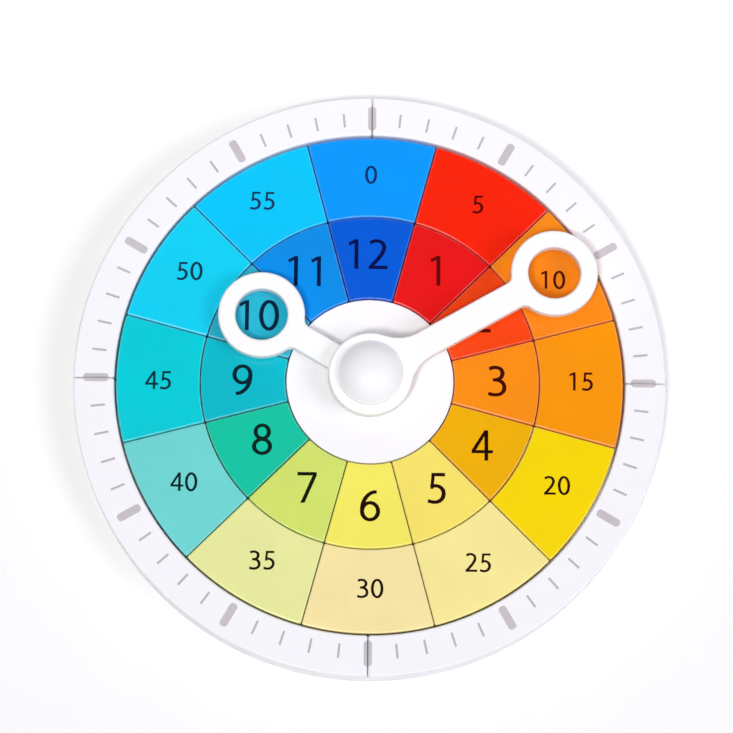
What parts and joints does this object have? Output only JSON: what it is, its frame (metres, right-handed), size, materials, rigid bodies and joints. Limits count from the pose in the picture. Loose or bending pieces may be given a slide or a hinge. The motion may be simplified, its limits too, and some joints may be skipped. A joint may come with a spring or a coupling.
{
  "type": "geared teaching clock",
  "caption": "Round table-top teaching clock: white board with a ticked rim, coloured number tiles that lift out, geared hands with finger rings, and a domed knob.",
  "frame": {"origin": "on the clock's axis, at the underside of the board", "axes": "+Z out of the dial, +Y to 12 o'clock, +X to 3 o'clock"},
  "size_m": [0.3, 0.3, 0.0477],
  "materials": {
    "bearing_brass": "turned",
    "cover_wood": "white painted plywood",
    "board_paint": "satin white paint over wood",
    "gear_plastic": "moulded",
    "bright_steel": "bright",
    "knob_paint": "satin white paint over wood",
    "washer_plastic": "moulded",
    "hand_paint": "satin white paint over wood",
    "hour_tile_01_paint": "satin paint over wood",
    "hour_tile_02_paint": "satin paint over wood",
    "hour_tile_03_paint": "satin paint over wood",
    "hour_tile_04_paint": "satin paint over wood",
    "hour_tile_05_paint": "satin paint over wood",
    "hour_tile_06_paint": "satin paint over wood",
    "hour_tile_07_paint": "satin paint over wood",
    "hour_tile_08_paint": "satin paint over wood",
    "hour_tile_09_paint": "satin paint over wood",
    "hour_tile_10_paint": "satin paint over wood",
    "hour_tile_11_paint": "satin paint over wood",
    "hour_tile_12_paint": "satin paint over wood",
    "hub_paint": "satin white paint over wood",
    "minute_tile_00_paint": "satin paint over wood",
    "minute_tile_05_paint": "satin paint over wood",
    "minute_tile_10_paint": "satin paint over wood",
    "minute_tile_15_paint": "satin paint over wood",
    "minute_tile_20_paint": "satin paint over wood",
    "minute_tile_25_paint": "satin paint over wood",
    "minute_tile_30_paint": "satin paint over wood",
    "minute_tile_35_paint": "satin paint over wood",
    "minute_tile_40_paint": "satin paint over wood",
    "minute_tile_45_paint": "satin paint over wood",
    "minute_tile_50_paint": "satin paint over wood",
    "minute_tile_55_paint": "satin paint over wood",
    "rim_paint": "satin white paint over wood"
  },
  "bodies": {
    "board": {"arbor_bush": "bearing_brass", "back_cover": "cover_wood", "base_board": "board_paint", "cover_screws": "bright_steel", "friction_washer": "bright_steel", "hub_bush": "bearing_brass", "hub_disc": "hub_paint", "hub_washer": "washer_plastic", "idler_clip": "bright_steel", "idler_stud": "bright_steel", "rim_quarter_ne": "rim_paint", "rim_quarter_nw": "rim_paint", "rim_quarter_se": "rim_paint", "rim_quarter_sw": "rim_paint"},
    "minute_set": {"minute_arbor": "bright_steel", "cannon_pinion": "gear_plastic", "minute_hand": "hand_paint", "hand_knob": "knob_paint"},
    "hour_set": {"hour_wheel": "gear_plastic", "hour_pipe": "bearing_brass", "hour_hand": "hand_paint", "hand_washer": "washer_plastic"},
    "idler": {"idler_gear": "gear_plastic"},
    "hour_tile_01": {"hour_tile_01": "hour_tile_01_paint"},
    "hour_tile_02": {"hour_tile_02": "hour_tile_02_paint"},
    "hour_tile_03": {"hour_tile_03": "hour_tile_03_paint"},
    "hour_tile_04": {"hour_tile_04": "hour_tile_04_paint"},
    "hour_tile_05": {"hour_tile_05": "hour_tile_05_paint"},
    "hour_tile_06": {"hour_tile_06": "hour_tile_06_paint"},
    "hour_tile_07": {"hour_tile_07": "hour_tile_07_paint"},
    "hour_tile_08": {"hour_tile_08": "hour_tile_08_paint"},
    "hour_tile_09": {"hour_tile_09": "hour_tile_09_paint"},
    "hour_tile_10": {"hour_tile_10": "hour_tile_10_paint"},
    "hour_tile_11": {"hour_tile_11": "hour_tile_11_paint"},
    "hour_tile_12": {"hour_tile_12": "hour_tile_12_paint"},
    "minute_tile_00": {"minute_tile_00": "minute_tile_00_paint"},
    "minute_tile_05": {"minute_tile_05": "minute_tile_05_paint"},
    "minute_tile_10": {"minute_tile_10": "minute_tile_10_paint"},
    "minute_tile_15": {"minute_tile_15": "minute_tile_15_paint"},
    "minute_tile_20": {"minute_tile_20": "minute_tile_20_paint"},
    "minute_tile_25": {"minute_tile_25": "minute_tile_25_paint"},
    "minute_tile_30": {"minute_tile_30": "minute_tile_30_paint"},
    "minute_tile_35": {"minute_tile_35": "minute_tile_35_paint"},
    "minute_tile_40": {"minute_tile_40": "minute_tile_40_paint"},
    "minute_tile_45": {"minute_tile_45": "minute_tile_45_paint"},
    "minute_tile_50": {"minute_tile_50": "minute_tile_50_paint"},
    "minute_tile_55": {"minute_tile_55": "minute_tile_55_paint"}
  },
  "joints": [
    {"name": "minute_turn", "type": "hinge", "parent": "board", "child": "minute_set", "pos_m": [0, 0, 0.0352], "axis": [0, 0, -1], "continuous": true},
    {"name": "hour_turn", "type": "hinge", "parent": "board", "child": "hour_set", "pos_m": [0, 0, 0.0277], "axis": [0, 0, -1], "continuous": true},
    {"name": "idler_turn", "type": "hinge", "parent": "board", "child": "idler", "pos_m": [0.021, 0, 0.0073], "axis": [0, 0, -1], "continuous": true},
    {"name": "lift_hour_tile_01", "type": "slide", "parent": "board", "child": "hour_tile_01", "axis": [0, 0, 1], "range_m": [0, 0.016]},
    {"name": "lift_hour_tile_02", "type": "slide", "parent": "board", "child": "hour_tile_02", "axis": [0, 0, 1], "range_m": [0, 0.0105]},
    {"name": "lift_hour_tile_03", "type": "slide", "parent": "board", "child": "hour_tile_03", "axis": [0, 0, 1], "range_m": [0, 0.016]},
    {"name": "lift_hour_tile_04", "type": "slide", "parent": "board", "child": "hour_tile_04", "axis": [0, 0, 1], "range_m": [0, 0.016]},
    {"name": "lift_hour_tile_05", "type": "slide", "parent": "board", "child": "hour_tile_05", "axis": [0, 0, 1], "range_m": [0, 0.016]},
    {"name": "lift_hour_tile_06", "type": "slide", "parent": "board", "child": "hour_tile_06", "axis": [0, 0, 1], "range_m": [0, 0.016]},
    {"name": "lift_hour_tile_07", "type": "slide", "parent": "board", "child": "hour_tile_07", "axis": [0, 0, 1], "range_m": [0, 0.016]},
    {"name": "lift_hour_tile_08", "type": "slide", "parent": "board", "child": "hour_tile_08", "axis": [0, 0, 1], "range_m": [0, 0.0105]},
    {"name": "lift_hour_tile_09", "type": "slide", "parent": "board", "child": "hour_tile_09", "axis": [0, 0, 1], "range_m": [0, 0.003]},
    {"name": "lift_hour_tile_10", "type": "slide", "parent": "board", "child": "hour_tile_10", "axis": [0, 0, 1], "range_m": [0, 0.003]},
    {"name": "lift_hour_tile_11", "type": "slide", "parent": "board", "child": "hour_tile_11", "axis": [0, 0, 1], "range_m": [0, 0.003]},
    {"name": "lift_hour_tile_12", "type": "slide", "parent": "board", "child": "hour_tile_12", "axis": [0, 0, 1], "range_m": [0, 0.016]},
    {"name": "lift_minute_tile_00", "type": "slide", "parent": "board", "child": "minute_tile_00", "axis": [0, 0, 1], "range_m": [0, 0.016]},
    {"name": "lift_minute_tile_05", "type": "slide", "parent": "board", "child": "minute_tile_05", "axis": [0, 0, 1], "range_m": [0, 0.016]},
    {"name": "lift_minute_tile_10", "type": "slide", "parent": "board", "child": "minute_tile_10", "axis": [0, 0, 1], "range_m": [0, 0.0105]},
    {"name": "lift_minute_tile_15", "type": "slide", "parent": "board", "child": "minute_tile_15", "axis": [0, 0, 1], "range_m": [0, 0.016]},
    {"name": "lift_minute_tile_20", "type": "slide", "parent": "board", "child": "minute_tile_20", "axis": [0, 0, 1], "range_m": [0, 0.016]},
    {"name": "lift_minute_tile_25", "type": "slide", "parent": "board", "child": "minute_tile_25", "axis": [0, 0, 1], "range_m": [0, 0.016]},
    {"name": "lift_minute_tile_30", "type": "slide", "parent": "board", "child": "minute_tile_30", "axis": [0, 0, 1], "range_m": [0, 0.016]},
    {"name": "lift_minute_tile_35", "type": "slide", "parent": "board", "child": "minute_tile_35", "axis": [0, 0, 1], "range_m": [0, 0.016]},
    {"name": "lift_minute_tile_40", "type": "slide", "parent": "board", "child": "minute_tile_40", "axis": [0, 0, 1], "range_m": [0, 0.0105]},
    {"name": "lift_minute_tile_45", "type": "slide", "parent": "board", "child": "minute_tile_45", "axis": [0, 0, 1], "range_m": [0, 0.016]},
    {"name": "lift_minute_tile_50", "type": "slide", "parent": "board", "child": "minute_tile_50", "axis": [0, 0, 1], "range_m": [0, 0.016]},
    {"name": "lift_minute_tile_55", "type": "slide", "parent": "board", "child": "minute_tile_55", "axis": [0, 0, 1], "range_m": [0, 0.016]}
  ],
  "couplings": [
    {"joint": "hour_turn", "follows": "minute_turn", "ratio": 0.083333},
    {"joint": "idler_turn", "follows": "minute_turn", "ratio": -0.33333}
  ]
}
